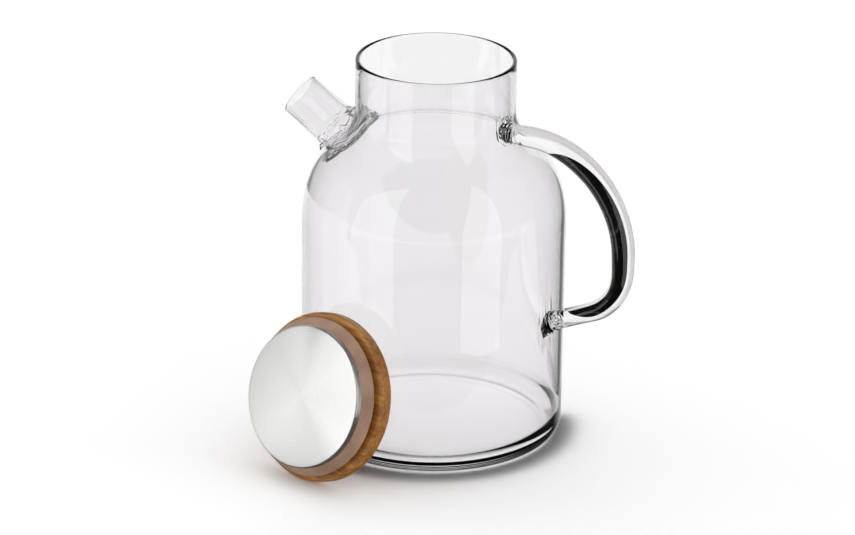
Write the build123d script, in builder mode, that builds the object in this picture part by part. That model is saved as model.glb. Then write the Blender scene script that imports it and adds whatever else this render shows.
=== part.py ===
from build123d import *
import math
import os

# Glass jug with a tube spout, a rod handle and a turned lid, in millimetres.
# The origin is the middle of the base on the surface that it stands on. Z is up, the handle is
# on the +X side and the spout on the -X side. The lid is off and leans on the jug's wall.

os.makedirs("parts", exist_ok=True)

# Blown vessel
body_radius = 65.0
jug_height = 193.5
wall = 2.0
floor_thickness = 4.0
base_corner = 8.0
floor_corner = 11.0
shoulder_start = 111.0
shoulder_rise = 42.0
neck_radius = 39.3
neck_foot_fillet = 9.0
rim_round = 0.9

# Spout tube, fused to the shoulder at an angle measured up the shoulder's quarter ellipse
spout_place = 56.0
spout_slope = 31.5
spout_radius = 11.3
spout_wall = 1.7
spout_length = 28.0
spout_collar_radius = 15.2
spout_collar_height = 7.0
spout_rim_round = 0.7

# Handle rod, fused to the neck's foot and to the wall
handle_top_rise = 10.0
handle_top_radius = 4.6
handle_grip_radius = 5.7
handle_leg_radius = 4.7
handle_reach = 105.5
handle_bow = 52.0
handle_lower_bend = 27.0
handle_leg_height = 69.0
handle_leg_slope = 24.0
weld_flare = 2.4
weld_length = 5.0

# A fused seam leaves this much room between its two pieces of glass
seam = 0.05

# Lid: a turned disc, a seal in its groove and a drawn cap over its nose
lid_radius = 41.2
lid_flange = 7.6
lid_edge_round = 1.8
groove_radius = 30.0
groove_height = 7.9
nose_radius = 33.9
nose_chamfer = 0.4
cap_sheet = 0.6
cap_wall_height = 4.1
cap_corner = 0.9
lid_fit = 0.1
seal_lip_radius = 38.5
seal_lip_drop = 4.2
seal_lip_edge = 1.0
seal_waist_radius = 33.0
seal_foot_height = 1.6
seal_foot_radius = 34.5

# The lid stands on its edge beside the jug, turned this far round from +X
lid_turn = 259.0
lid_lean = 18.0
lid_gap = 0.3


def vessel_form(grow=0.0, floor=0.0, top=jug_height, corner=base_corner):
    """Solid of revolution inside the vessel's outer face, grown or shrunk by a wall."""
    radius = body_radius + grow
    neck = neck_radius + grow
    neck_foot_height = shoulder_start + shoulder_rise + grow
    with BuildPart() as form:
        with BuildSketch(Plane.XZ):
            with BuildLine():
                base = Line((0, floor), (radius, floor))
                side = Line(base @ 1, (radius, shoulder_start))
                shoulder = EllipticalCenterArc(
                    (neck, shoulder_start), radius - neck, neck_foot_height - shoulder_start, arc_size=90
                )
                column = Line(shoulder @ 1, (neck, top))
                mouth = Line(column @ 1, (0, top))
                Line(mouth @ 1, base @ 0)
            make_face()
        revolve(axis=Axis.Z)
        circles = form.edges().filter_by(GeomType.CIRCLE)
        fillet(circles.filter_by_position(Axis.Z, floor, floor), corner)
        circles = form.edges().filter_by(GeomType.CIRCLE)
        fillet(circles.filter_by_position(Axis.Z, neck_foot_height, neck_foot_height), neck_foot_fillet - grow)
    return form.part


vessel_envelope = vessel_form(seam, -seam, corner=base_corner + seam)


# Where the spout's axis leaves the shoulder, and the planes across and along that axis
shoulder_width = body_radius - neck_radius
spout_foot = Vector(
    -(neck_radius + shoulder_width * math.cos(math.radians(spout_place))),
    0,
    shoulder_start + shoulder_rise * math.sin(math.radians(spout_place)),
)
spout_direction = Vector(-math.cos(math.radians(spout_slope)), 0, math.sin(math.radians(spout_slope)))
spout_across = Plane(origin=spout_foot, x_dir=(0, 1, 0), z_dir=spout_direction)
spout_along = Plane(origin=spout_foot, x_dir=spout_direction, z_dir=(0, 1, 0))
spout_bore = spout_radius - spout_wall

with BuildPart() as glass_body:
    add(vessel_form())
    add(vessel_form(-wall, floor_thickness, jug_height + wall, floor_corner), mode=Mode.SUBTRACT)
    rim_edges = glass_body.edges().filter_by(GeomType.CIRCLE).group_by(Axis.Z)[-1]
    fillet(rim_edges, rim_round)
    with BuildSketch(spout_across):
        Circle(spout_bore)
    extrude(amount=spout_collar_radius, both=True, mode=Mode.SUBTRACT)
glass_body.part.label = "glass_body"
export_step(glass_body.part, "parts/glass_body.step")

with BuildPart() as spout:
    with BuildSketch(spout_along):
        with BuildLine():
            root = -spout_collar_radius
            inner = Line((root, spout_bore), (spout_length, spout_bore))
            tip = Line(inner @ 1, (spout_length, spout_radius))
            outer = Line(tip @ 1, (spout_collar_height, spout_radius))
            collar = TangentArc(outer @ 1, (0, spout_collar_radius), tangent=outer % 1)
            skirt = Line(collar @ 1, (root, spout_collar_radius))
            Line(skirt @ 1, inner @ 0)
        make_face()
    revolve(axis=Axis(spout_foot, spout_direction))
    add(vessel_envelope, mode=Mode.SUBTRACT)
    tip_edges = spout.edges().filter_by(GeomType.CIRCLE).sort_by(Axis(spout_foot, spout_direction))[-2:]
    fillet(tip_edges, spout_rim_round)
spout.part.label = "spout"
export_step(spout.part, "parts/spout.step")

# The handle's centre line, from the neck out over the bow and back along the lower leg
handle_top = shoulder_start + shoulder_rise + handle_top_rise
leg_slope = math.radians(handle_leg_slope)
bend_centre_x = handle_reach - handle_lower_bend
leg_run = bend_centre_x + handle_lower_bend * math.sin(leg_slope) - body_radius
bend_centre_z = handle_leg_height + handle_lower_bend * math.cos(leg_slope) + leg_run * math.tan(leg_slope)
leg_root_x = body_radius - wall
leg_root_z = handle_leg_height - wall * math.tan(leg_slope)

with BuildLine(Plane.XZ) as handle_line:
    top_leg = Line((neck_radius - wall, handle_top), (handle_reach - handle_bow, handle_top))
    bow = CenterArc((handle_reach - handle_bow, handle_top - handle_bow), handle_bow, 90, -90)
    grip = Line(bow @ 1, (handle_reach, bend_centre_z))
    bend = CenterArc((bend_centre_x, bend_centre_z), handle_lower_bend, 0, handle_leg_slope - 90)
    leg = Line(bend @ 1, (leg_root_x, leg_root_z))

top_root = Plane(origin=handle_line.wire() @ 0, x_dir=(0, 1, 0), z_dir=(1, 0, 0))
grip_top = Plane(origin=(handle_reach, 0, handle_top - handle_bow), x_dir=(0, 1, 0), z_dir=(0, 0, -1))
leg_root = Plane(
    origin=(leg_root_x, 0, leg_root_z), x_dir=(0, 1, 0), z_dir=(math.cos(leg_slope), 0, math.sin(leg_slope))
)

with BuildPart() as handle:
    with BuildSketch(top_root) as top_section:
        Circle(handle_top_radius)
    with BuildSketch(grip_top) as grip_section:
        Circle(handle_grip_radius)
    with BuildSketch(leg_root) as leg_section:
        Circle(handle_leg_radius)
    sweep(
        sections=[top_section.sketch, grip_section.sketch, leg_section.sketch],
        path=handle_line.wire(),
        multisection=True,
    )
    for root_plane, rod_radius in ((top_root, handle_top_radius), (leg_root, handle_leg_radius)):
        with BuildSketch(root_plane) as pad:
            Circle(rod_radius + weld_flare)
        with BuildSketch(root_plane.offset(wall + weld_length)) as pad_end:
            Circle(rod_radius)
        loft([pad.sketch, pad_end.sketch])
    add(vessel_envelope, mode=Mode.SUBTRACT)
handle.part.label = "handle"
export_step(handle.part, "parts/handle.step")

# The lid's frame: its axis runs out of the middle of the disc's outer face towards the cap
turn = math.radians(lid_turn)
lean = math.radians(lid_lean)
edge_ring = lid_radius - lid_edge_round
lid_reach = (
    body_radius + lid_gap + lid_edge_round * (1 - math.cos(lean)) + edge_ring * math.sin(lean)
)
lid_height = edge_ring * math.cos(lean) + lid_edge_round * (1 - math.sin(lean))
lid_centre = Vector(lid_reach * math.cos(turn), lid_reach * math.sin(turn), lid_height)
lid_normal = Vector(math.cos(turn) * math.cos(lean), math.sin(turn) * math.cos(lean), math.sin(lean))
lid_side = Vector(-math.sin(turn), math.cos(turn), 0)
lid_section = Plane(origin=lid_centre, x_dir=lid_side, z_dir=lid_side.cross(lid_normal))
lid_axis = Axis(lid_centre, lid_normal)
groove_top = lid_flange + groove_height
nose_top = groove_top + cap_wall_height - cap_sheet

with BuildPart() as bamboo_disc:
    with BuildSketch(lid_section) as disc_profile:
        with BuildLine():
            Polyline(
                (0, 0),
                (lid_radius, 0),
                (lid_radius, lid_flange),
                (groove_radius, lid_flange),
                (groove_radius, groove_top),
                (nose_radius, groove_top),
                (nose_radius, nose_top),
                (0, nose_top),
                close=True,
            )
        make_face()
    revolve(axis=lid_axis)
    disc_edges = bamboo_disc.edges().filter_by(GeomType.CIRCLE).sort_by(SortBy.RADIUS)
    fillet(disc_edges[-2:], lid_edge_round)
    nose_edge = bamboo_disc.edges().filter_by(GeomType.CIRCLE).sort_by(lid_axis)[-1]
    chamfer(nose_edge, nose_chamfer)
bamboo_disc.part.label = "bamboo_disc"
export_step(bamboo_disc.part, "parts/bamboo_disc.step")

seal_bore = groove_radius + lid_fit
seal_top_radius = nose_radius + lid_fit + cap_sheet
lip_height = groove_top - seal_lip_drop

with BuildPart() as seal_ring:
    with BuildSketch(lid_section):
        with BuildLine():
            bore_line = Line((seal_bore, lid_flange), (seal_bore, groove_top))
            end_face = Line(bore_line @ 1, (seal_top_radius, groove_top))
            lip_face = Line(end_face @ 1, (seal_lip_radius, lip_height))
            lip_edge = Line(lip_face @ 1, (seal_lip_radius - seal_lip_edge / 2, lip_height - seal_lip_edge))
            waist = Line(lip_edge @ 1, (seal_waist_radius, lip_height))
            shank = Line(waist @ 1, (seal_waist_radius, lid_flange + seal_foot_height))
            foot_top = Line(shank @ 1, (seal_foot_radius, lid_flange + seal_foot_height))
            foot_side = Line(foot_top @ 1, (seal_foot_radius, lid_flange))
            Line(foot_side @ 1, bore_line @ 0)
        make_face()
    revolve(axis=lid_axis)
seal_ring.part.label = "seal_ring"
export_step(seal_ring.part, "parts/seal_ring.step")

cap_radius = nose_radius + lid_fit + cap_sheet
cap_top = groove_top + cap_wall_height

with BuildPart() as steel_cap:
    with BuildSketch(lid_section):
        with BuildLine():
            Polyline(
                (0, nose_top),
                (cap_radius - cap_sheet, nose_top),
                (cap_radius - cap_sheet, groove_top),
                (cap_radius, groove_top),
                (cap_radius, cap_top),
                (0, cap_top),
                close=True,
            )
        make_face()
    revolve(axis=lid_axis)
    cap_edge = steel_cap.edges().filter_by(GeomType.CIRCLE).sort_by(lid_axis)[-1]
    fillet(cap_edge, cap_corner)
steel_cap.part.label = "steel_cap"
export_step(steel_cap.part, "parts/steel_cap.step")
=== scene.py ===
import bmesh
import bpy
import math
from mathutils import Matrix, Vector, noise


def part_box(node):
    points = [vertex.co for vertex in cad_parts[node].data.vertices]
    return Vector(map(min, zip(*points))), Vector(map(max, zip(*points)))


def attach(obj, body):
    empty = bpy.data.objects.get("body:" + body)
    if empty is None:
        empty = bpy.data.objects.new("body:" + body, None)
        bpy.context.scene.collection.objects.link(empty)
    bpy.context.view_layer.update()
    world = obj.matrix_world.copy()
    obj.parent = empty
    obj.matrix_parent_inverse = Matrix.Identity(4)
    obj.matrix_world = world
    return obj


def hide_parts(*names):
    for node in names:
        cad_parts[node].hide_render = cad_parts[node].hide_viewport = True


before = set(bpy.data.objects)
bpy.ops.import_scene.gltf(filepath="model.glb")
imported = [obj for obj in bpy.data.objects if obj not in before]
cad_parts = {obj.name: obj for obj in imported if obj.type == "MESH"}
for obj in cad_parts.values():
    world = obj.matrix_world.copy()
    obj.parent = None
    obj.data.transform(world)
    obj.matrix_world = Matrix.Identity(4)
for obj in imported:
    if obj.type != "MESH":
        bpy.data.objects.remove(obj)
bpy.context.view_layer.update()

# Glass jug with its lid leaning on it. Metres, in the CAD frame: Z up, handle on +X, spout on -X.

MM = 0.001
UP = Vector((0, 0, 1))
ORIGIN = Vector((0, 0, 0))

# The vessel's size is read from its node's box, the rest from the same drawing as the CAD
vessel_low, vessel_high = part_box("glass_body")
BODY_RADIUS = (vessel_high[1] - vessel_low[1]) / 2
JUG_HEIGHT = vessel_high[2]
WALL = 2.0 * MM
FLOOR_THICKNESS = 4.0 * MM
BASE_CORNER = 8.0 * MM
FLOOR_CORNER = 11.0 * MM
SHOULDER_START = 111.0 * MM
SHOULDER_RISE = 42.0 * MM
NECK_RADIUS = 39.3 * MM
# wider than the CAD's, because the photograph shows no fold at the neck's foot
NECK_FOOT_FILLET = 21.0 * MM
CHORDS = 192

SPOUT_PLACE = math.radians(56.0)
SPOUT_SLOPE = math.radians(31.5)
SPOUT_RADIUS = 11.3 * MM
SPOUT_BORE = 9.6 * MM
SPOUT_LENGTH = 28.0 * MM
SPOUT_RIM_ROUND = 0.7 * MM
SPOUT_ROOT = -13.0 * MM
SPOUT_CHORDS = 96
COLLAR_RADIUS = 15.2 * MM
COLLAR_HEIGHT = 7.0 * MM

HANDLE_TOP = 163.0 * MM
HANDLE_REACH = 105.5 * MM
HANDLE_BOW = 52.0 * MM
LOWER_BEND = 27.0 * MM
LEG_HEIGHT = 69.0 * MM
LEG_SLOPE = math.radians(24.0)
# the rod's radius in mm at shares of its length, thickest in the bow
ROD_RADII = ((0.0, 4.6), (0.12, 5.2), (0.3, 5.75), (0.55, 5.7), (0.75, 5.1), (0.88, 4.6), (1.0, 4.7))
ROD_CHORDS = 48

LID_TURN = math.radians(259.0)
LID_LEAN = math.radians(18.0)
LID_GAP = 0.3 * MM
LID_RADIUS = 41.2 * MM
LID_EDGE = 1.8 * MM
FLANGE = 7.6 * MM
GROOVE_RADIUS = 30.0 * MM
GROOVE_TOP = 15.5 * MM
NOSE_RADIUS = 33.9 * MM
NOSE_CHAMFER = 0.4 * MM
CAP_RADIUS = 34.6 * MM
CAP_SHEET = 0.6 * MM
CAP_TOP = 19.6 * MM
CAP_DOME = 0.8 * MM
CAP_CORNER = 0.9 * MM
SEAL_BORE = 30.1 * MM
SEAL_WAIST = 33.0 * MM
SEAL_FOOT = 34.5 * MM
SEAL_FOOT_TOP = FLANGE + 1.6 * MM
SEAL_LIP = 38.5 * MM
SEAL_LIP_HEIGHT = 10.9 * MM
LID_CHORDS = 160


# Helpers

def linear(hex_colour, alpha=1.0):
    """An sRGB hex colour as Blender's linear RGBA."""
    channels = [int(hex_colour[i:i + 2], 16) / 255 for i in (0, 2, 4)]
    return tuple(c / 12.92 if c <= 0.04045 else ((c + 0.055) / 1.055) ** 2.4 for c in channels) + (alpha,)


def node(tree, kind, settings=None, inputs=None, links=None):
    """Adds a node, sets its properties and sockets, and links sockets to other nodes' outputs."""
    made = tree.nodes.new(kind)
    for name, value in (settings or {}).items():
        setattr(made, name, value)
    for name, value in (inputs or {}).items():
        made.inputs[name].default_value = value
    for name, (source, output) in (links or {}).items():
        tree.links.new(source.outputs[output], made.inputs[name])
    return made


def material(name):
    """A new material with an empty node tree and its output node."""
    made = bpy.data.materials.new(name)
    made.use_nodes = True
    made.node_tree.nodes.clear()
    output = made.node_tree.nodes.new("ShaderNodeOutputMaterial")
    return made, made.node_tree, output


def piece_from(shape, name, finish, smooth=True, crease=None):
    """Turns a bmesh into a named object with its material, sharp where it turns by more than the crease."""
    mesh = bpy.data.meshes.new(name)
    shape.to_mesh(mesh)
    shape.free()
    for face in mesh.polygons:
        face.use_smooth = smooth
    if crease:
        mesh.set_sharp_from_angle(angle=math.radians(crease))
    made = bpy.data.objects.new(name, mesh)
    bpy.context.collection.objects.link(made)
    made.data.materials.append(finish)
    return made


def arc(centre, radius, start, end, steps):
    """Points along a plane arc, angles in degrees, with a radius or two half axes."""
    wide, tall = radius if isinstance(radius, tuple) else (radius, radius)
    angles = [math.radians(start + (end - start) * i / steps) for i in range(steps + 1)]
    return [(centre[0] + wide * math.cos(a), centre[1] + tall * math.sin(a)) for a in angles]


def turned(line, origin=ORIGIN, side=Vector((1, 0, 0)), axis=UP, chords=CHORDS, ring=False):
    """Spins a line of (radius, height) points round an axis into a closed solid."""
    shape = bmesh.new()
    verts = [shape.verts.new(origin + side * r + axis * h) for r, h in line]
    ends = verts[1:] + verts[:1] if ring else verts[1:]
    edges = [shape.edges.new(pair) for pair in zip(verts, ends)]
    bmesh.ops.spin(shape, geom=verts + edges, cent=origin, axis=axis, angle=math.tau,
                   steps=chords, use_merge=True)
    bmesh.ops.remove_doubles(shape, verts=shape.verts, dist=1e-6)
    bmesh.ops.recalc_face_normals(shape, faces=shape.faces)
    return shape


def combine(target, tool, operation):
    """Joins a tool solid to the target or cuts it out, and drops the tool."""
    modifier = target.modifiers.new("combine", "BOOLEAN")
    modifier.object = tool
    modifier.operation = operation
    modifier.solver = "EXACT"
    evaluated = target.evaluated_get(bpy.context.evaluated_depsgraph_get())
    mesh = bpy.data.meshes.new_from_object(evaluated)
    target.modifiers.clear()
    old, target.data = target.data, mesh
    bpy.data.meshes.remove(old)
    bpy.data.objects.remove(tool)


# Camera, at the photograph's angle

CAMERA_AZIMUTH = math.radians(30.0)
CAMERA_ELEVATION = math.radians(21.43)
CAMERA_ROLL = math.radians(0.81)
CAMERA_DISTANCE = 2.2
AIM_HEIGHT = 0.098
FOCAL_PIXELS = 4457.6
IMAGE_WIDTH = 855
IMAGE_HEIGHT = 535
AIM_PIXEL = (433.7, 241.0)

back = Vector((
    math.sin(CAMERA_AZIMUTH) * math.cos(CAMERA_ELEVATION),
    -math.cos(CAMERA_AZIMUTH) * math.cos(CAMERA_ELEVATION),
    math.sin(CAMERA_ELEVATION),
))
right = Vector((math.cos(CAMERA_AZIMUTH), math.sin(CAMERA_AZIMUTH), 0.0))
toward = Vector((math.sin(CAMERA_AZIMUTH), -math.cos(CAMERA_AZIMUTH), 0.0))


def add_camera():
    """Looks at the jug's axis and turns so that the aim falls on its pixel in the photograph."""
    data = bpy.data.cameras.new("camera")
    data.sensor_width = 36.0
    data.lens = FOCAL_PIXELS / IMAGE_WIDTH * data.sensor_width
    data.clip_start, data.clip_end = 0.05, 50.0
    camera = bpy.data.objects.new("camera", data)
    bpy.context.collection.objects.link(camera)
    up = back.cross(right)
    level = Matrix((right, up, back)).transposed()
    roll = Matrix.Rotation(CAMERA_ROLL, 3, "Z")
    across = (AIM_PIXEL[0] - IMAGE_WIDTH / 2) / FOCAL_PIXELS
    down = (AIM_PIXEL[1] - IMAGE_HEIGHT / 2) / FOCAL_PIXELS
    aim = Vector((across, -down, -1.0)).normalized()
    shift = Vector((0.0, 0.0, -1.0)).rotation_difference(aim).to_matrix()
    turned_to = level @ roll @ shift.inverted()
    camera.matrix_world = turned_to.to_4x4()
    camera.location = Vector((0, 0, AIM_HEIGHT)) + back * CAMERA_DISTANCE
    bpy.context.scene.camera = camera


add_camera()


# Stage: table, studio surroundings and lights

BLACK = "050505"
WHITE = "FFFFFF"
DOME_LEVEL = 1.13
ROOM_THROUGH_GLASS = 0.45
ROOM_IN_MIRROR = 0.05
TABLE_SIZE = 12.0
TABLE_DROP = 0.2 * MM
# strength and reach of the painted glow on the table under the jug, seen only through the glass
PAINTED_GLOW_UNDER_JUG = 0.25
PAINTED_GLOW_OUT_TO = 70.0 * MM
PAINTED_GLOW_FULL_WITHIN = 58.0 * MM
RAY_KINDS = ("camera", "diffuse", "glossy", "transmission", "shadow")

bpy.context.scene.cycles.blur_glossy = 0.0


def add_table():
    """A wide white table, with a painted glow under the jug that only rays through the glass meet."""
    shape = bmesh.new()
    bmesh.ops.create_grid(shape, x_segments=1, y_segments=1, size=TABLE_SIZE)
    bmesh.ops.translate(shape, verts=shape.verts, vec=(0, 0, -TABLE_DROP))
    finish, tree, output = material("white_table_with_painted_glow")
    # painted light: under the jug, and only as seen through the glass, the table glows, standing in for the
    # light that the glass gathers
    place = node(tree, "ShaderNodeTexCoord")
    reach = node(tree, "ShaderNodeVectorMath", {"operation": "LENGTH"},
                 links={"Vector": (place, "Object")})
    painted_glow = node(tree, "ShaderNodeMapRange", inputs={
        "From Min": PAINTED_GLOW_OUT_TO, "From Max": PAINTED_GLOW_FULL_WITHIN,
        "To Min": 0.0, "To Max": PAINTED_GLOW_UNDER_JUG,
    }, links={"Value": (reach, "Value")})
    kind = node(tree, "ShaderNodeLightPath")
    through = node(tree, "ShaderNodeMath", {"operation": "MULTIPLY"},
                   links={"Value": (painted_glow, "Result")})
    tree.links.new(kind.outputs["Is Transmission Ray"], through.inputs[1])
    coat = node(tree, "ShaderNodeBsdfPrincipled", inputs={
        "Base Color": linear("F6F6F6"), "Roughness": 0.85, "Specular IOR Level": 0.2,
        "Emission Color": linear(WHITE),
    }, links={"Emission Strength": (through, "Value")})
    tree.links.new(coat.outputs["BSDF"], output.inputs["Surface"])
    table = piece_from(shape, "table", finish, smooth=False)
    table.visible_glossy = False


def add_world():
    """An even white dome lights everything. Light that turned back inside the glass sees a grey room
    before the jug, and mirrored light a dark one, with white behind."""
    world = bpy.data.worlds.new("studio")
    bpy.context.scene.world = world
    world.use_nodes = True
    tree = world.node_tree
    tree.nodes.clear()
    place = node(tree, "ShaderNodeTexCoord")
    facing = node(tree, "ShaderNodeVectorMath", {"operation": "DOT_PRODUCT"},
                  links={"Vector": (place, "Generated")})
    facing.inputs[1].default_value = toward
    kind = node(tree, "ShaderNodeLightPath")
    front = node(tree, "ShaderNodeMapRange", inputs={"To Min": 1.0, "To Max": ROOM_THROUGH_GLASS},
                 links={"Value": (kind, "Glossy Depth")})
    through = node(tree, "ShaderNodeMapRange",
                   inputs={"From Min": -0.35, "From Max": 0.15, "To Min": 1.0},
                   links={"Value": (facing, "Value"), "To Max": (front, "Result")})
    mirrored = node(tree, "ShaderNodeMapRange", inputs={
        "From Min": -0.95, "From Max": -0.7, "To Min": 1.0, "To Max": ROOM_IN_MIRROR,
    }, links={"Value": (facing, "Value")})
    room = node(tree, "ShaderNodeMapRange", links={
        "Value": (kind, "Is Glossy Ray"),
        "To Min": (through, "Result"), "To Max": (mirrored, "Result"),
    })
    level = node(tree, "ShaderNodeMix", {"data_type": "FLOAT"},
                 links={"Factor": (kind, "Diffuse Depth")})
    tree.links.new(room.outputs["Result"], level.inputs[2])
    level.inputs[3].default_value = DOME_LEVEL
    light = node(tree, "ShaderNodeBackground", inputs={"Color": linear(WHITE)})
    tree.links.new(level.outputs[0], light.inputs["Strength"])
    node(tree, "ShaderNodeOutputWorld", links={"Surface": (light, "Background")})


def add_screen(shape, name, finish, seen_in):
    """Stages a screen that only the given kinds of ray meet."""
    screen = piece_from(shape, name, finish, smooth=False)
    for kind in RAY_KINDS:
        setattr(screen, "visible_" + kind, kind in seen_in)


def add_card(name, finish, corners, seen_in):
    """A flat card with its corners given as (right, toward, height)."""
    shape = bmesh.new()
    shape.faces.new([shape.verts.new(right * a + toward * b + UP * z) for a, b, z in corners])
    add_screen(shape, name, finish, (seen_in,))


def upright(start, end, low, high):
    """Corners of an upright card between two (right, toward) places, with a height at each end."""
    return [(*start, low), (*end, low), (*end, high[1]), (*start, high[0])]


def black_cloth():
    """Black for every ray that meets it."""
    finish, tree, output = material("matt_black_card")
    surface = node(tree, "ShaderNodeBsdfDiffuse", inputs={"Color": linear(BLACK)})
    tree.links.new(surface.outputs["BSDF"], output.inputs["Surface"])
    return finish


def partly_black_cloth(name, chooser, output_name, black_when):
    """Black only where the chooser's output is as given, so that no cloth shows through the glass
    from the other side."""
    finish, tree, output = material(name)
    surfaces = [node(tree, "ShaderNodeBsdfTransparent")]
    black = node(tree, "ShaderNodeBsdfDiffuse", inputs={"Color": linear(BLACK)})
    surfaces.insert(black_when, black)
    chosen = node(tree, chooser)
    share = node(tree, "ShaderNodeMapRange", links={"Value": (chosen, output_name)})
    both = node(tree, "ShaderNodeMixShader", links={"Fac": (share, "Result")})
    for place, surface in enumerate(surfaces, 1):
        tree.links.new(surface.outputs["BSDF"], both.inputs[place])
    tree.links.new(both.outputs["Shader"], output.inputs["Surface"])
    return finish


def lit_panel(name, strength):
    """A white panel that gives its own light."""
    finish, tree, output = material(name)
    surface = node(tree, "ShaderNodeEmission", inputs={"Color": linear(WHITE), "Strength": strength})
    tree.links.new(surface.outputs["Emission"], output.inputs["Surface"])
    return finish


def graded_panel(name, start, end, low, high):
    """A lit panel that grows lighter from one (right, toward) place to another."""
    finish, tree, output = material(name)
    place = node(tree, "ShaderNodeTexCoord")
    first, last = (right * a + toward * b for a, b in (start, end))
    offset = node(tree, "ShaderNodeVectorMath", {"operation": "SUBTRACT"},
                  links={"Vector": (place, "Object")})
    offset.inputs[1].default_value = first
    share = node(tree, "ShaderNodeVectorMath", {"operation": "DOT_PRODUCT"},
                 links={"Vector": (offset, "Vector")})
    share.inputs[1].default_value = (last - first) / (last - first).length_squared
    level = node(tree, "ShaderNodeMapRange", inputs={"To Min": low, "To Max": high},
                 links={"Value": (share, "Value")})
    surface = node(tree, "ShaderNodeEmission", inputs={"Color": linear(WHITE)},
                   links={"Strength": (level, "Result")})
    tree.links.new(surface.outputs["Emission"], output.inputs["Surface"])
    return finish


def add_shadow_skirt(finish):
    """A low black cone round the base that only the table's light meets, for the contact shadow.
    It stops short of the back, where the glass would show it."""
    shape = turned([(60.0 * MM, 0.6 * MM), (72.0 * MM, 6.5 * MM)], chords=96)
    rear = [face for face in shape.faces if face.calc_center_median().dot(toward) < -12.0 * MM]
    bmesh.ops.delete(shape, geom=rear, context="FACES")
    add_screen(shape, "shadow_skirt", finish, ("diffuse",))


add_table()
add_world()
black_card = black_cloth()
add_shadow_skirt(black_card)

# Black cloths, which the glass bends into dark edges. Places are (right, toward) in metres.
one_sided = partly_black_cloth("black_one_sided_cloth", "ShaderNodeNewGeometry", "Backfacing", 0)
turned_back = partly_black_cloth("black_front_cloth", "ShaderNodeLightPath", "Glossy Depth", 1)
CLOTH_TOP = 0.6
FRONT_CLOTH_HEIGHT = 0.4 * MM
add_card("black_backdrop_right", one_sided,
         upright((0.0745, -0.03), (0.5, -0.03), 0.0, (CLOTH_TOP, CLOTH_TOP)), "transmission")
add_card("black_backdrop_left", one_sided,
         upright((-0.5, -0.07), (-0.083, -0.07), 0.108, (CLOTH_TOP, CLOTH_TOP)), "transmission")
add_card("black_flag_over_spout", one_sided,
         upright((-0.5, -0.16), (-0.02, -0.16), 0.16, (0.7, 0.7)), "transmission")
add_card("black_cloth_front", turned_back,
         [(a, b, FRONT_CLOTH_HEIGHT) for a, b in ((-1.0, 0.14), (1.0, 0.14), (1.0, 2.0), (-1.0, 2.0))],
         "transmission")

# Lit panels, which show as soft windows in the vessel's wall
window = lit_panel("lit_white_panel", 1.7)
add_card("panel_left", window, upright((-0.249, 0.082), (-0.115, 0.2), 0.0, (0.14, 0.45)), "glossy")
add_card("panel_right", window, upright((0.168, 0.133), (0.079, 0.205), 0.0, (0.45, 0.14)), "glossy")

# The steel cap looks to the left: a panel there goes from grey to white, with a black slat before it
steel_panel = graded_panel("graded_white_card", (-0.157, 0.035), (-0.148, 0.080), 0.45, 1.2)
add_card("card_beside_steel", steel_panel,
         upright((-0.166, -0.010), (-0.139, 0.126), 0.0, (0.2, 0.2)), "glossy")
add_card("black_slat_of_steel", black_card,
         [(-0.147, 0.076, 0.078), (-0.151, 0.050, 0.2), (-0.143, 0.088, 0.2)], "glossy")


# Finishes

def clear_glass():
    """Blown borosilicate, fire polished: colourless, with only a faint grey through its depth."""
    finish, tree, output = material("clear_borosilicate_glass")
    place = node(tree, "ShaderNodeTexCoord")
    # blown glass waves by a few hundredths of a millimetre over about 20 mm
    waves = node(tree, "ShaderNodeTexNoise", inputs={"Scale": 1 / (20.0 * MM), "Detail": 1.0},
                 links={"Vector": (place, "Object")})
    relief = node(tree, "ShaderNodeBump", inputs={"Strength": 0.5, "Distance": 0.04 * MM},
                  links={"Height": (waves, "Fac")})
    coat = node(tree, "ShaderNodeBsdfPrincipled", inputs={
        "Base Color": linear("F8F7F8"), "Roughness": 0.0, "IOR": 1.47, "Transmission Weight": 1.0,
    }, links={"Normal": (relief, "Normal")})
    tree.links.new(coat.outputs["BSDF"], output.inputs["Surface"])
    return finish


GLASS = clear_glass()


# Blown vessel, with the spout and the handle fused to it

def shell_line(grow, floor, corner):
    """The vessel's outer or inner face from the axis up to the start of the neck's straight."""
    radius, neck = BODY_RADIUS + grow, NECK_RADIUS + grow
    rise = SHOULDER_RISE + grow
    points = [(0.0, floor), (radius * 0.4, floor), (radius * 0.7, floor)]
    points += arc((radius - corner, floor + corner), corner, -90, 0, 16)
    points += [(radius, floor + corner + (SHOULDER_START - floor - corner) * i / 8) for i in range(1, 8)]
    fillet = NECK_FOOT_FILLET - grow
    # the fillet touches the shoulder's ellipse where the offset curves of the two meet
    low, high = 0.5, math.pi / 2
    for _ in range(60):
        angle = (low + high) / 2
        px, pz = neck + (radius - neck) * math.cos(angle), SHOULDER_START + rise * math.sin(angle)
        nx, nz = rise * math.cos(angle), (radius - neck) * math.sin(angle)
        size = math.hypot(nx, nz)
        if px + fillet * nx / size > neck + fillet:
            low = angle
        else:
            high = angle
    centre = (neck + fillet, pz + fillet * nz / size)
    start = math.degrees(math.atan2(pz - centre[1], px - centre[0])) % 360
    points += arc((neck, SHOULDER_START), (radius - neck, rise), 0, math.degrees(angle), 30)
    points += arc(centre, fillet, start, 180, 12)[1:]
    return points


def neck_steps(radius, foot, top):
    return [(radius, foot + (top - foot) * i / 6) for i in range(1, 7)]


lip_height = JUG_HEIGHT - WALL / 2
neck_middle = NECK_RADIUS - WALL / 2


def outer_form():
    """The vessel's outside as a solid, with the outer half of its rounded rim."""
    line = shell_line(0.0, 0.0, BASE_CORNER)
    line += neck_steps(NECK_RADIUS, line[-1][1], lip_height)
    line += arc((neck_middle, lip_height), WALL / 2, 0, 90, 8)[1:]
    return turned(line + [(0.0, JUG_HEIGHT)])


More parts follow.
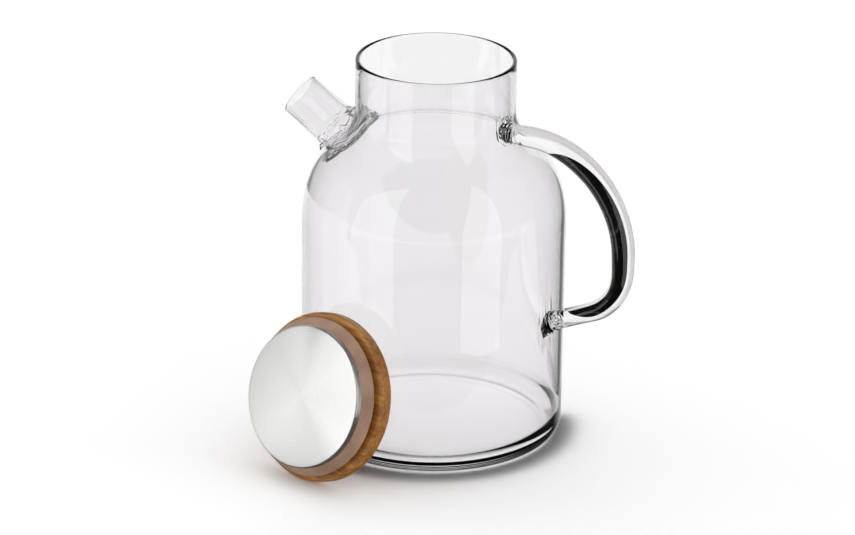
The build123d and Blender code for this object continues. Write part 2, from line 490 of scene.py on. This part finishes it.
def inner_form():
    """The room inside the vessel, flared by the inner half of the rim."""
    line = shell_line(-WALL, FLOOR_THICKNESS, FLOOR_CORNER)
    line += neck_steps(NECK_RADIUS - WALL, line[-1][1], lip_height)
    line += arc((neck_middle, lip_height), WALL / 2, 180, 95, 8)[1:]
    flare = line[-1][0]
    return turned(line + [(flare, JUG_HEIGHT + WALL), (0.0, JUG_HEIGHT + WALL)])


shoulder_width = BODY_RADIUS - NECK_RADIUS
spout_foot = Vector((
    -(NECK_RADIUS + shoulder_width * math.cos(SPOUT_PLACE)), 0,
    SHOULDER_START + SHOULDER_RISE * math.sin(SPOUT_PLACE),
))
spout_axis = Vector((-math.cos(SPOUT_SLOPE), 0, math.sin(SPOUT_SLOPE)))
spout_side = Vector((0, 1, 0))


def spout_form():
    """The spout's tube without its bore, with the collar where it is fused on."""
    step = COLLAR_RADIUS - SPOUT_RADIUS
    reach = (COLLAR_HEIGHT ** 2 + step ** 2) / (2 * step)
    centre = (SPOUT_RADIUS + reach, COLLAR_HEIGHT)
    end = math.degrees(math.atan2(-COLLAR_HEIGHT, step - reach)) % 360
    tip_foot = SPOUT_LENGTH - SPOUT_RIM_ROUND
    line = [(0.0, SPOUT_ROOT), (COLLAR_RADIUS, SPOUT_ROOT)]
    line += arc(centre, reach, end, 180, 12)
    line += [(SPOUT_RADIUS, COLLAR_HEIGHT + (tip_foot - COLLAR_HEIGHT) * i / 4) for i in range(1, 4)]
    line += arc((SPOUT_RADIUS - SPOUT_RIM_ROUND, tip_foot), SPOUT_RIM_ROUND, 0, 90, 5)
    line.append((0.0, SPOUT_LENGTH))
    return turned(line, spout_foot, spout_side, spout_axis, SPOUT_CHORDS)


def bore_form():
    """The spout's bore, flared over the inner half of its rim."""
    below = SPOUT_ROOT - MM
    line = [(0.0, below), (SPOUT_BORE, below), (SPOUT_BORE, SPOUT_LENGTH * 0.5)]
    centre = (SPOUT_BORE + SPOUT_RIM_ROUND, SPOUT_LENGTH - SPOUT_RIM_ROUND)
    line += arc(centre, SPOUT_RIM_ROUND, 180, 98, 5)
    above = SPOUT_LENGTH + WALL
    line += [(line[-1][0], above), (0.0, above)]
    return turned(line, spout_foot, spout_side, spout_axis, SPOUT_CHORDS)


def handle_route():
    """Points and directions along the handle's centre line in the XZ plane, from the neck to the wall."""
    bow_centre = (HANDLE_REACH - HANDLE_BOW, HANDLE_TOP - HANDLE_BOW)
    bend_x = HANDLE_REACH - LOWER_BEND
    run = bend_x + LOWER_BEND * math.sin(LEG_SLOPE) - BODY_RADIUS
    bend_z = LEG_HEIGHT + LOWER_BEND * math.cos(LEG_SLOPE) + run * math.tan(LEG_SLOPE)
    # both ends reach into the wall, and what passes it is cut away with the room inside
    bury = 1.5 * WALL
    top_x = NECK_RADIUS - bury
    leg_root = (BODY_RADIUS - bury, LEG_HEIGHT - bury * math.tan(LEG_SLOPE))
    route = [(top_x + (bow_centre[0] - top_x) * i / 30, HANDLE_TOP) for i in range(30)]
    route += arc(bow_centre, HANDLE_BOW, 90, 0, 36)
    route += arc((bend_x, bend_z), LOWER_BEND, 0, math.degrees(LEG_SLOPE) - 90, 20)
    last = route[-1]
    route += [(last[0] + (leg_root[0] - last[0]) * i / 36, last[1] + (leg_root[1] - last[1]) * i / 36)
              for i in range(1, 37)]
    return route


def rod_radius(share, from_top, from_leg):
    """The rod's radius at a share of its length, with the flare and ripples of its fused ends."""
    for (a, ra), (b, rb) in zip(ROD_RADII, ROD_RADII[1:]):
        if share <= b:
            t = (share - a) / (b - a)
            plain = ra + (rb - ra) * t * t * (3 - 2 * t)
            break
    near = min(from_top, from_leg) / MM
    flare = 2.3 * math.exp(-(near / 4.2) ** 2)
    ripple = 0.42 * math.cos(near * math.tau / 2.6) * math.exp(-(near / 6.5) ** 2)
    return (plain + flare + ripple) * MM


def handle_form():
    """A solid glass rod drawn along the route, by extruding a disc from station to station."""
    route = handle_route()
    steps = [math.dist(a, b) for a, b in zip(route, route[1:])]
    total = sum(steps)
    shape = bmesh.new()
    bmesh.ops.create_circle(shape, cap_ends=True, segments=ROD_CHORDS, radius=1.0)
    shape.faces.ensure_lookup_table()
    end = shape.faces[0]
    before = Matrix.Identity(4)
    gone = 0.0
    for i, (x, z) in enumerate(route):
        ahead = route[min(i + 1, len(route) - 1)]
        behind = route[max(i - 1, 0)]
        way = Vector((ahead[0] - behind[0], 0, ahead[1] - behind[1])).normalized()
        size = rod_radius(gone / total, gone, total - gone)
        side = Vector((0, 1, 0))
        axes = Matrix((side * size, way.cross(side) * size, way)).transposed().to_4x4()
        now = Matrix.Translation((x, 0, z)) @ axes
        if i:
            end = bmesh.ops.extrude_discrete_faces(shape, faces=[end])["faces"][0]
        bmesh.ops.transform(shape, matrix=now @ before.inverted(), verts=list(end.verts))
        before = now
        gone += steps[i] if i < len(steps) else 0.0
    rims = [edge for edge in shape.edges if edge.is_boundary]
    bmesh.ops.holes_fill(shape, edges=rims, sides=0)
    bmesh.ops.recalc_face_normals(shape, faces=shape.faces)
    return shape


def wrinkle(target, centre, axis, inner, outer, depth, pitch):
    """Leaves rings in the glass round a fused joint, lumpy as the flame makes them. Inner and outer
    are the zone's radii about the axis, and depth and pitch are the rings' own."""
    shape = bmesh.new()
    shape.from_mesh(target.data)

    def place(point):
        offset = point - centre
        along = offset.dot(axis)
        return (offset - axis * along).length, along

    def inside(vert):
        out, along = place(vert.co)
        return inner - MM < out < outer + MM and abs(along) < outer

    near = [edge for edge in shape.edges if inside(edge.verts[0]) and inside(edge.verts[1])]
    bmesh.ops.subdivide_edges(shape, edges=near, cuts=3, use_grid_fill=True)
    shape.normal_update()
    for vert in shape.verts:
        out, along = place(vert.co)
        if inner < out < outer and abs(along) < outer:
            share = (out - inner) / (outer - inner)
            fade = min(1.0, 5 * share, 2.5 * (1 - share))
            lump = noise.noise(vert.co / (4.0 * MM))
            vert.co += vert.normal * depth * fade * math.sin(math.tau * (out / pitch + 0.6 * lump))
    shape.to_mesh(target.data)
    shape.free()


GLASS_CREASE = 28


def blown_jug():
    """Outside, spout and handle in one, less the room inside and the spout's bore."""
    jug = piece_from(outer_form(), "blown_jug", GLASS)
    combine(jug, piece_from(spout_form(), "spout_tool", GLASS), "UNION")
    combine(jug, piece_from(handle_form(), "handle_tool", GLASS), "UNION")
    combine(jug, piece_from(inner_form(), "room_tool", GLASS), "DIFFERENCE")
    combine(jug, piece_from(bore_form(), "bore_tool", GLASS), "DIFFERENCE")
    wrinkle(jug, spout_foot, spout_axis, SPOUT_RADIUS, 18.0 * MM, 0.45 * MM, 1.4 * MM)
    for x, z in ((NECK_RADIUS, HANDLE_TOP), (BODY_RADIUS, LEG_HEIGHT)):
        wrinkle(jug, Vector((x, 0, z)), Vector((1, 0, 0)), 2.0 * MM, 9.0 * MM, 0.18 * MM, 1.9 * MM)
    jug.data.set_sharp_from_angle(angle=math.radians(GLASS_CREASE))
    return jug


jug = blown_jug()
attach(jug, "jug")
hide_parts("glass_body", "spout", "handle")


# Lid, standing on its edge: a turned disc, its seal and its cap share one axis

edge_ring = LID_RADIUS - LID_EDGE
lid_reach = BODY_RADIUS + LID_GAP + LID_EDGE * (1 - math.cos(LID_LEAN)) + edge_ring * math.sin(LID_LEAN)
lid_height = edge_ring * math.cos(LID_LEAN) + LID_EDGE * (1 - math.sin(LID_LEAN))
lid_centre = Vector((lid_reach * math.cos(LID_TURN), lid_reach * math.sin(LID_TURN), lid_height))
lid_axis = Vector((
    math.cos(LID_TURN) * math.cos(LID_LEAN), math.sin(LID_TURN) * math.cos(LID_LEAN), math.sin(LID_LEAN),
))
lid_side = Vector((-math.sin(LID_TURN), math.cos(LID_TURN), 0))


def lid_piece(line, name, finish, replaced, ring=False, crease=35):
    """Turns one part of the lid about the lid's axis."""
    shape = turned(line, lid_centre, lid_side, lid_axis, LID_CHORDS, ring)
    piece = piece_from(shape, name, finish, crease=crease)
    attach(piece, "lid")
    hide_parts(replaced)
    return piece


def tone_ramp(tree, pattern, dark, light):
    """A ramp over a pattern between two (position, colour) pairs."""
    ramp = node(tree, "ShaderNodeValToRGB", links={"Fac": (pattern, "Fac")})
    for element, (position, colour) in zip(ramp.color_ramp.elements, (dark, light)):
        element.position, element.color = position, linear(colour)
    return ramp


def bamboo():
    """Laminated bamboo, turned and oiled. Its fibre bundles run across the disc, along the lid's side
    axis: they show as streaks where the rim runs with them and as dark dots where it cuts them."""
    finish, tree, output = material("oiled_laminated_bamboo")
    place = node(tree, "ShaderNodeTexCoord")
    turn = Matrix((lid_side, lid_axis.cross(lid_side), lid_axis)).to_euler()
    grain = node(tree, "ShaderNodeMapping", {"vector_type": "POINT"},
                 links={"Vector": (place, "Object")})
    grain.inputs["Rotation"].default_value = turn
    # bundles are 0.9 mm apart, streaks 1.6 mm and bands 9 mm, and all are 14 times as long as wide
    long = node(tree, "ShaderNodeVectorMath", {"operation": "MULTIPLY"},
                links={"Vector": (grain, "Vector")})
    long.inputs[1].default_value = (1 / 14, 1, 1)
    bundles = node(tree, "ShaderNodeTexVoronoi", {"feature": "F1"},
                   {"Scale": 1 / (0.9 * MM), "Randomness": 0.9}, {"Vector": (long, "Vector")})
    dots = node(tree, "ShaderNodeMapRange", inputs={
        "From Min": 0.12, "From Max": 0.5, "To Min": 1.0, "To Max": 0.0,
    }, links={"Value": (bundles, "Distance")})
    streaks = node(tree, "ShaderNodeTexNoise",
                   inputs={"Scale": 1 / (1.6 * MM), "Detail": 4.0, "Roughness": 0.6},
                   links={"Vector": (long, "Vector")})
    bands = node(tree, "ShaderNodeTexNoise", inputs={"Scale": 1 / (9.0 * MM), "Detail": 2.0},
                 links={"Vector": (long, "Vector")})
    body = tone_ramp(tree, streaks, (0.32, "7E4D1A"), (0.68, "C08636"))
    broad = tone_ramp(tree, bands, (0.35, "D9C7A8"), (0.65, "FFFFFF"))
    toned = node(tree, "ShaderNodeMix", {"data_type": "RGBA", "blend_type": "MULTIPLY"}, {"Factor": 1.0})
    tree.links.new(body.outputs["Color"], toned.inputs[6])
    tree.links.new(broad.outputs["Color"], toned.inputs[7])
    dotted = node(tree, "ShaderNodeMix", {"data_type": "RGBA", "blend_type": "MIX"})
    share = node(tree, "ShaderNodeMath", {"operation": "MULTIPLY"}, links={"Value": (dots, "Result")})
    share.inputs[1].default_value = 0.55
    tree.links.new(share.outputs["Value"], dotted.inputs["Factor"])
    tree.links.new(toned.outputs[2], dotted.inputs[6])
    dotted.inputs[7].default_value = linear("6E3F14")
    gloss = node(tree, "ShaderNodeMapRange", inputs={"To Min": 0.36, "To Max": 0.52},
                 links={"Value": (streaks, "Fac")})
    relief = node(tree, "ShaderNodeBump", inputs={"Strength": 0.35, "Distance": 0.08 * MM},
                  links={"Height": (streaks, "Fac")})
    coat = node(tree, "ShaderNodeBsdfPrincipled",
                inputs={"IOR": 1.5, "Coat Weight": 0.15, "Coat Roughness": 0.3},
                links={"Roughness": (gloss, "Result"), "Normal": (relief, "Normal")})
    tree.links.new(dotted.outputs[2], coat.inputs["Base Color"])
    tree.links.new(coat.outputs["BSDF"], output.inputs["Surface"])
    return finish


def silicone():
    """Food-grade silicone, moulded with a matt face: milky beige, and light bleeds through its lip."""
    finish, tree, output = material("matt_translucent_silicone")
    place = node(tree, "ShaderNodeTexCoord")
    # the mix is cloudy over 12 mm, and the mould's spark-eroded face leaves a grit of 0.15 mm
    cloud = node(tree, "ShaderNodeTexNoise", inputs={"Scale": 1 / (12.0 * MM), "Detail": 3.0},
                 links={"Vector": (place, "Object")})
    tone = tone_ramp(tree, cloud, (0.3, "8A6B58"), (0.7, "A4856F"))
    grit = node(tree, "ShaderNodeTexNoise", inputs={"Scale": 1 / (0.15 * MM), "Detail": 1.0},
                links={"Vector": (place, "Object")})
    relief = node(tree, "ShaderNodeBump", inputs={"Strength": 0.2, "Distance": 0.01 * MM},
                  links={"Height": (grit, "Fac")})
    coat = node(tree, "ShaderNodeBsdfPrincipled", inputs={
        "Roughness": 0.55, "IOR": 1.41, "Subsurface Weight": 0.35, "Subsurface Scale": 2.0 * MM,
    }, links={"Base Color": (tone, "Color"), "Normal": (relief, "Normal")})
    coat.inputs["Subsurface Radius"].default_value = (1.0, 0.7, 0.5)
    tree.links.new(coat.outputs["BSDF"], output.inputs["Surface"])
    return finish


def steel():
    """Stainless sheet, polished on a lathe: hair-fine rings round the lid's axis draw each light out
    into a spoke."""
    finish, tree, output = material("turned_stainless_steel")
    place = node(tree, "ShaderNodeTexCoord")
    spoke = node(tree, "ShaderNodeVectorMath", {"operation": "SUBTRACT"},
                 links={"Vector": (place, "Object")})
    spoke.inputs[1].default_value = lid_centre
    around = node(tree, "ShaderNodeVectorMath", {"operation": "CROSS_PRODUCT"},
                  links={"Vector": (spoke, "Vector")})
    around.inputs[1].default_value = lid_axis
    # the rings are drawn 0.25 mm apart, several times coarser than the real ones, so that they show
    reach = node(tree, "ShaderNodeVectorMath", {"operation": "LENGTH"},
                 links={"Vector": (around, "Vector")})
    rings = node(tree, "ShaderNodeTexNoise", {"noise_dimensions": "1D"},
                 {"Scale": 1 / (0.25 * MM), "Detail": 2.0}, {"W": (reach, "Value")})
    gloss = node(tree, "ShaderNodeMapRange", inputs={"To Min": 0.24, "To Max": 0.36},
                 links={"Value": (rings, "Fac")})
    coat = node(tree, "ShaderNodeBsdfPrincipled", inputs={
        "Base Color": linear("E4E4E3"), "Metallic": 1.0, "Anisotropic": 0.95, "Anisotropic Rotation": 0.25,
    }, links={"Tangent": (around, "Vector"), "Roughness": (gloss, "Result")})
    tree.links.new(coat.outputs["BSDF"], output.inputs["Surface"])
    return finish


def bamboo_line():
    """The disc's half section: a rounded flange, the seal's groove and the nose under the cap."""
    nose_top = CAP_TOP - CAP_SHEET - CAP_DOME
    line = [(0.0, 0.0), (LID_RADIUS * 0.5, 0.0)]
    line += arc((LID_RADIUS - LID_EDGE, LID_EDGE), LID_EDGE, -90, 0, 8)
    line += arc((LID_RADIUS - LID_EDGE, FLANGE - LID_EDGE), LID_EDGE, 0, 90, 8)
    line += [(GROOVE_RADIUS, FLANGE), (GROOVE_RADIUS, GROOVE_TOP), (NOSE_RADIUS, GROOVE_TOP)]
    line += [(NOSE_RADIUS, nose_top - NOSE_CHAMFER), (NOSE_RADIUS - NOSE_CHAMFER, nose_top)]
    line.append((0.0, nose_top))
    return line


def seal_line():
    """The seal's section: a foot, a thin shank and a lip that slopes back from the cap."""
    back = SEAL_LIP_HEIGHT
    line = [(SEAL_BORE, FLANGE), (SEAL_FOOT, FLANGE), (SEAL_FOOT, SEAL_FOOT_TOP)]
    line += [(SEAL_WAIST, SEAL_FOOT_TOP), (SEAL_WAIST, back + 0.1 * MM)]
    line.append((SEAL_LIP - 2.5 * MM, back - 0.2 * MM))
    line += [(SEAL_LIP - 0.6 * MM, back - 0.5 * MM), (SEAL_LIP - 0.2 * MM, back - 0.4 * MM)]
    line += [(SEAL_LIP, back), (SEAL_LIP - 0.05 * MM, back + 0.4 * MM)]
    line.append((SEAL_LIP - 1.9 * MM, back + 2.4 * MM))
    line += [(SEAL_FOOT + 0.4 * MM, GROOVE_TOP - 0.3 * MM), (SEAL_FOOT, GROOVE_TOP - 0.05 * MM)]
    return line + [(SEAL_BORE, GROOVE_TOP)]


def cap_line():
    """The cap's section: a drawn sheet with a rolled corner over the nose."""
    sheet_top, inside = CAP_TOP - CAP_SHEET, CAP_RADIUS - CAP_SHEET
    edge = CAP_TOP - CAP_DOME
    line = [(0.0, sheet_top), (CAP_RADIUS * 0.5, sheet_top - 0.25 * CAP_DOME)]
    line += [(inside, sheet_top - CAP_DOME), (inside, GROOVE_TOP), (CAP_RADIUS, GROOVE_TOP)]
    line += arc((CAP_RADIUS - CAP_CORNER, edge - CAP_CORNER), CAP_CORNER, 0, 88, 8)
    flat = line[-1][0]
    return line + [(flat * (1 - i / 16), CAP_TOP - CAP_DOME * (1 - i / 16) ** 2) for i in range(1, 17)]


lid_piece(bamboo_line(), "bamboo_lid_disc", bamboo(), "bamboo_disc")
lid_piece(seal_line(), "silicone_seal", silicone(), "seal_ring", ring=True)
lid_piece(cap_line(), "steel_nose_cap", steel(), "steel_cap")

bpy.context.scene.view_settings.view_transform = "Standard"
